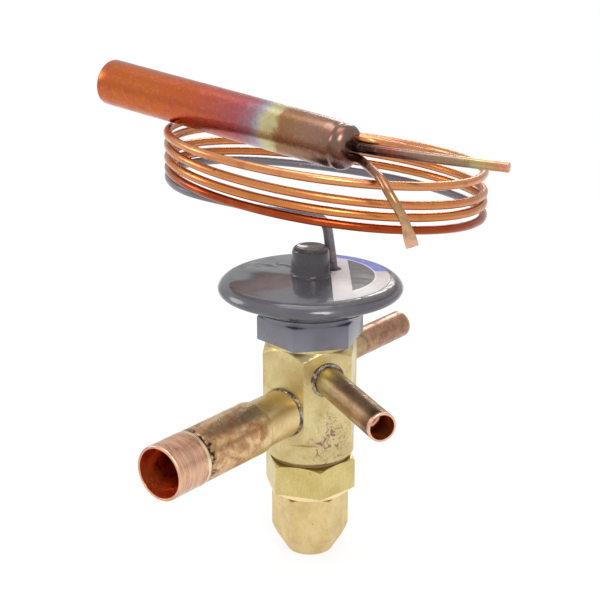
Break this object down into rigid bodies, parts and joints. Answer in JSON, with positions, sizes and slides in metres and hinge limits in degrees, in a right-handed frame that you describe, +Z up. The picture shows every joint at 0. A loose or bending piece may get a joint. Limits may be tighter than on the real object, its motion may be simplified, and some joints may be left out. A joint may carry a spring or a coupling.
{
  "type": "thermostatic expansion valve",
  "caption": "Brazed expansion valve with hexagonal brass body, painted power element, equaliser tube, solder sockets, coiled copper capillary and copper sensing bulb.",
  "frame": {"origin": "centre of the seal cap's end face", "axes": "+Z up along the valve's axis from the seal cap to the power element; outlet towards -X, inlet towards +X"},
  "size_m": [0.1228, 0.1216, 0.1304],
  "materials": {
    "turned_brass": "satin",
    "body_brass": "satin",
    "forged_brass": "matte",
    "bright_brass": "polished",
    "oxidised_copper": "matte",
    "inlet_copper": "satin",
    "equaliser_copper": "satin",
    "capillary_copper": "satin",
    "bulb_copper": "satin",
    "charge_copper": "satin",
    "pinched_copper": "satin",
    "braze_alloy": "satin",
    "grey_enamel": "gloss",
    "boss_enamel": "gloss",
    "label": "satin",
    "stainless_steel": "polished",
    "spring_steel": "satin",
    "ptfe_packing": "matte",
    "gasket": "matte",
    "bronze_mesh": "satin"
  },
  "bodies": {
    "root": {"bottom_cap": "turned_brass", "stem_packing": "ptfe_packing", "packing_follower": "turned_brass", "cap_gasket": "gasket", "valve_body": "body_brass", "rod_packing": "ptfe_packing", "port_seat": "stainless_steel", "outlet_stub": "bright_brass", "outlet_tube": "oxidised_copper", "inlet_tube": "inlet_copper", "equaliser_tube": "equaliser_copper", "outlet_braze_ring": "braze_alloy", "inlet_braze_ring": "braze_alloy", "equaliser_braze_ring": "braze_alloy", "inlet_strainer": "bronze_mesh", "hex_collar": "grey_enamel", "lower_housing": "grey_enamel", "diaphragm": "stainless_steel", "upper_housing": "grey_enamel", "charging_boss": "boss_enamel", "label_plate": "label", "capillary_tube": "capillary_copper", "capillary_braze": "braze_alloy", "sensing_bulb": "bulb_copper", "charging_tube": "charge_copper", "pinched_tube": "pinched_copper", "superheat_spring": "spring_steel"},
    "seal_cap": {"seal_cap": "forged_brass"},
    "adjusting_stem": {"adjusting_stem": "stainless_steel"},
    "spring_guide": {"spring_guide": "turned_brass"},
    "pin_assembly": {"pin_carrier": "turned_brass", "valve_pin": "stainless_steel", "push_rods": "stainless_steel", "buffer_plate": "stainless_steel"}
  },
  "joints": [
    {"name": "seal_cap_slide", "type": "slide", "parent": "root", "child": "seal_cap", "axis": [0, 0, -1], "range_m": [0, 0.02]},
    {"name": "stem_turn", "type": "hinge", "parent": "root", "child": "adjusting_stem", "pos_m": [0, 0, 0.02], "axis": [0, 0, 1], "range_deg": [-1080, 1080]},
    {"name": "guide_travel", "type": "slide", "parent": "root", "child": "spring_guide", "axis": [0, 0, 1], "range_m": [-0.00224, 0.00224], "deforming": ["superheat_spring"]},
    {"name": "pin_travel", "type": "slide", "parent": "root", "child": "pin_assembly", "axis": [0, 0, -1], "range_m": [0, 0.0007], "stiffness_N_per_m": 5000, "springref_m": -0.002}
  ],
  "couplings": [
    {"joint": "stem_turn", "follows": "guide_travel", "rad_per_m": 8377.6}
  ]
}
